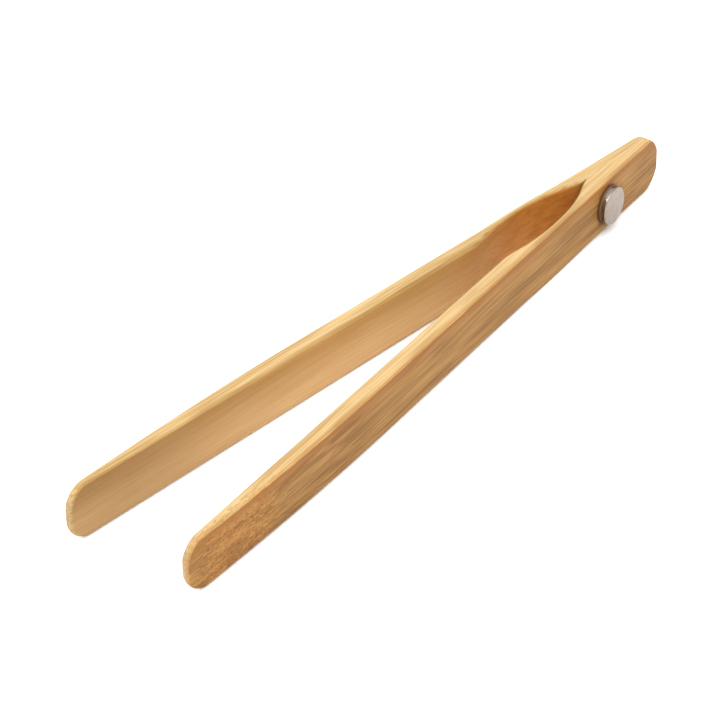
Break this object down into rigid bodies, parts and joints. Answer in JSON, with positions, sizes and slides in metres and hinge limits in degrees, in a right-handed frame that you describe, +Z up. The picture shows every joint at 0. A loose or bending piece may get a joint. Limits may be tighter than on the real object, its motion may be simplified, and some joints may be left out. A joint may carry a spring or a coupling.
{
  "type": "spring print tongs",
  "caption": "Sprung tongs of two bamboo strips glued at the head, hollowed into thin necks, with a disc magnet in one strip, for lifting prints.",
  "frame": {"origin": "on the surface the tongs lie on, under the middle of their length and width", "axes": "+X along the tongs towards the glued head, +Y across the gap from the strip with the magnet to the other, +Z up, along the width of the strips"},
  "size_m": [0.2096, 0.036, 0.0152],
  "materials": {
    "bamboo": "satin sanded bamboo, lightly oiled, with fine lengthwise fibres",
    "wood_glue": "cured, semi gloss",
    "nickel_plate": "bright nickel plate with a faint brushed face"
  },
  "bodies": {
    "head": {"front_strip_butt": "bamboo", "front_strip_neck": "bamboo", "back_strip_butt": "bamboo", "back_strip_neck": "bamboo", "butt_glue_seam": "wood_glue", "magnet_glue_bed": "wood_glue", "magnet_disc": "nickel_plate"},
    "front_arm": {"front_strip_blade": "bamboo"},
    "back_arm": {"back_strip_blade": "bamboo"}
  },
  "joints": [
    {"name": "front_neck_flex", "type": "hinge", "parent": "head", "child": "front_arm", "pos_m": [0.0536, -0.00589, 0.0076], "axis": [0, 0, -1], "range_deg": [0, 5.75], "stiffness_Nm_per_rad": 1.38, "deforming": ["front_strip_neck"]},
    {"name": "back_neck_flex", "type": "hinge", "parent": "head", "child": "back_arm", "pos_m": [0.0536, 0.00589, 0.0076], "axis": [0, 0, 1], "range_deg": [0, 5.75], "stiffness_Nm_per_rad": 1.38, "deforming": ["back_strip_neck"]}
  ]
}
